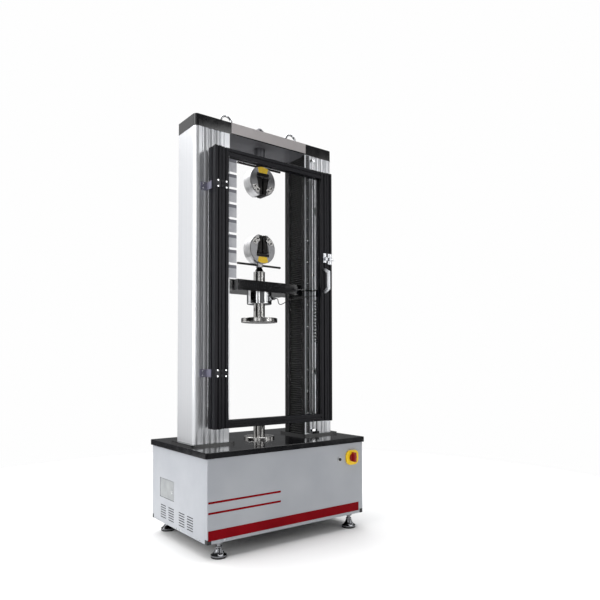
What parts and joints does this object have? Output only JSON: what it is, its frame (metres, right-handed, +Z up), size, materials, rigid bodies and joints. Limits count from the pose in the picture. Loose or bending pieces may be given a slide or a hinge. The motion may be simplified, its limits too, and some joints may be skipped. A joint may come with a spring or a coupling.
{
  "type": "universal testing machine",
  "caption": "Floor-standing two-column testing machine: moving crosshead on ball screws, wedge grips above it, compression platen below, hinged clear guard door, cabinet base.",
  "frame": {"origin": "floor point on the load axis, midway between the columns", "axes": "+Z up along the load axis, +X to the right as seen from the front, front towards -Y"},
  "size_m": [1.01, 0.6713, 2.282],
  "materials": {
    "cabinet_paint": "semi-gloss powder coat, off-white",
    "black_paint": "gloss black enamel",
    "column_aluminium": "clear anodised extrusion",
    "black_anodised": "black anodised profile",
    "clear_acrylic": "clear polished sheet",
    "bright_steel": "ground and lightly oiled steel",
    "dark_steel": "blackened steel",
    "chrome_steel": "chromed and polished",
    "foot_rubber": "moulded rubber",
    "lead_sheath": "moulded cable sheath",
    "bellows_cloth": "coated cloth, pleated",
    "plate_aluminium": "brushed sheet",
    "black_plastic": "moulded plastic",
    "yellow_plastic": "moulded plastic",
    "red_plastic": "moulded plastic",
    "bearing_bronze": "machined bronze",
    "fitting_aluminium": "satin die-cast aluminium",
    "belt_rubber": "reinforced belt"
  },
  "bodies": {
    "stand": {"foot_pads": "foot_rubber", "levelling_feet": "chrome_steel", "base_frame": "black_paint", "cabinet_front": "cabinet_paint", "cabinet_rear": "cabinet_paint", "cabinet_sides": "cabinet_paint", "corner_caps": "black_plastic", "base_plate": "black_paint", "column_flanges": "black_paint", "column_covers": "column_aluminium", "guide_rods": "chrome_steel", "top_beam": "black_paint", "name_plate": "plate_aluminium", "lifting_eyes": "chrome_steel", "screw_bearings": "bright_steel", "drive_motor": "black_paint", "servo_drive": "black_plastic", "drive_belt": "belt_rubber", "base_adapter": "dark_steel", "guard_posts": "black_anodised", "guard_brackets": "fitting_aluminium", "bolt_guide": "fitting_aluminium", "switch_plate": "yellow_plastic", "start_bezel": "chrome_steel", "limit_rod": "chrome_steel", "lead_gland": "black_plastic", "upper_grip_stem": "bright_steel", "upper_grip_body": "bright_steel", "lower_bellows": "bellows_cloth", "upper_bellows": "bellows_cloth", "lead_coil": "lead_sheath"},
    "crosshead": {"crosshead_beam": "black_paint", "ball_nuts": "bright_steel", "guide_bushes": "bearing_bronze", "lower_grip_stem": "bright_steel", "lower_grip_body": "bright_steel", "load_cell": "bright_steel", "platen_stem": "bright_steel", "upper_platen": "bright_steel", "limit_striker": "fitting_aluminium", "load_cell_lead": "lead_sheath"},
    "left_screw": {"left_ball_screw": "bright_steel"},
    "right_screw": {"right_ball_screw": "bright_steel"},
    "motor_shaft": {"motor_pulley": "bright_steel"},
    "guard_door": {"door_frame": "black_anodised", "door_panel": "clear_acrylic", "door_hinge_leaves": "fitting_aluminium", "door_handle": "fitting_aluminium", "bolt_keeper": "fitting_aluminium"},
    "bolt": {"latch_bolt": "bright_steel"},
    "upper_handle": {"upper_grip_handle": "bright_steel"},
    "lower_handle": {"lower_grip_handle": "bright_steel"},
    "upper_jaw_left": {"upper_left_jaw": "dark_steel"},
    "upper_jaw_right": {"upper_right_jaw": "dark_steel"},
    "lower_jaw_left": {"lower_left_jaw": "dark_steel"},
    "lower_jaw_right": {"lower_right_jaw": "dark_steel"},
    "switch": {"switch_knob": "red_plastic"},
    "button": {"start_button": "chrome_steel"},
    "top_stop": {"upper_stop": "bright_steel"},
    "bottom_stop": {"lower_stop": "bright_steel"}
  },
  "joints": [
    {"name": "left_screw_spin", "type": "hinge", "parent": "stand", "child": "left_screw", "pos_m": [-0.32, 0, 0.8], "axis": [0, 0, 1], "range_deg": [-2700, 16200]},
    {"name": "right_screw_spin", "type": "hinge", "parent": "stand", "child": "right_screw", "pos_m": [0.32, 0, 0.8], "axis": [0, 0, 1], "range_deg": [-2700, 16200]},
    {"name": "motor_spin", "type": "hinge", "parent": "stand", "child": "motor_shaft", "pos_m": [0, 0.17, 0.4], "axis": [0, 0, 1], "range_deg": [-5400, 32400]},
    {"name": "crosshead_travel", "type": "slide", "parent": "stand", "child": "crosshead", "axis": [0, 0, 1], "range_m": [-0.45, 0.075], "deforming": ["lower_bellows", "upper_bellows", "lead_coil"]},
    {"name": "door_swing", "type": "hinge", "parent": "stand", "child": "guard_door", "pos_m": [-0.346, -0.189, 1.3], "axis": [0, 0, -1], "range_deg": [0, 110]},
    {"name": "bolt_slide", "type": "slide", "parent": "stand", "child": "bolt", "axis": [-1, 0, 0], "range_m": [0, 0.018]},
    {"name": "upper_grip_turn", "type": "hinge", "parent": "stand", "child": "upper_handle", "pos_m": [0, 0, 2.0345], "axis": [0, 0, 1], "range_deg": [-252, 720]},
    {"name": "upper_left_jaw_slide", "type": "slide", "parent": "stand", "child": "upper_jaw_left", "axis": [0.1743, 0, -0.9847], "range_m": [-0.00711, 0.02031]},
    {"name": "upper_right_jaw_slide", "type": "slide", "parent": "stand", "child": "upper_jaw_right", "axis": [-0.1743, 0, -0.9847], "range_m": [-0.00711, 0.02031]},
    {"name": "lower_grip_turn", "type": "hinge", "parent": "crosshead", "child": "lower_handle", "pos_m": [0, 0, 1.4735], "axis": [0, 0, 1], "range_deg": [-252, 720]},
    {"name": "lower_left_jaw_slide", "type": "slide", "parent": "crosshead", "child": "lower_jaw_left", "axis": [0.1743, 0, 0.9847], "range_m": [-0.00711, 0.02031]},
    {"name": "lower_right_jaw_slide", "type": "slide", "parent": "crosshead", "child": "lower_jaw_right", "axis": [-0.1743, 0, 0.9847], "range_m": [-0.00711, 0.02031]},
    {"name": "switch_turn", "type": "hinge", "parent": "stand", "child": "switch", "pos_m": [0.41, -0.325, 0.394], "axis": [0, 1, 0], "range_deg": [0, 90]},
    {"name": "button_press", "type": "slide", "parent": "stand", "child": "button", "axis": [0, 1, 0], "range_m": [0, 0.003], "stiffness_N_per_m": 300},
    {"name": "top_stop_slide", "type": "slide", "parent": "stand", "child": "top_stop", "axis": [0, 0, 1], "range_m": [0, 0.35]},
    {"name": "bottom_stop_slide", "type": "slide", "parent": "stand", "child": "bottom_stop", "axis": [0, 0, 1], "range_m": [-0.2, 0]}
  ],
  "couplings": [
    {"joint": "right_screw_spin", "follows": "left_screw_spin", "ratio": 1},
    {"joint": "motor_spin", "follows": "left_screw_spin", "ratio": 2},
    {"joint": "crosshead_travel", "follows": "left_screw_spin", "m_per_rad": -0.0015915},
    {"joint": "upper_left_jaw_slide", "follows": "upper_grip_turn", "m_per_rad": 0.0016163},
    {"joint": "upper_right_jaw_slide", "follows": "upper_grip_turn", "m_per_rad": 0.0016163},
    {"joint": "lower_left_jaw_slide", "follows": "lower_grip_turn", "m_per_rad": 0.0016163},
    {"joint": "lower_right_jaw_slide", "follows": "lower_grip_turn", "m_per_rad": 0.0016163}
  ]
}
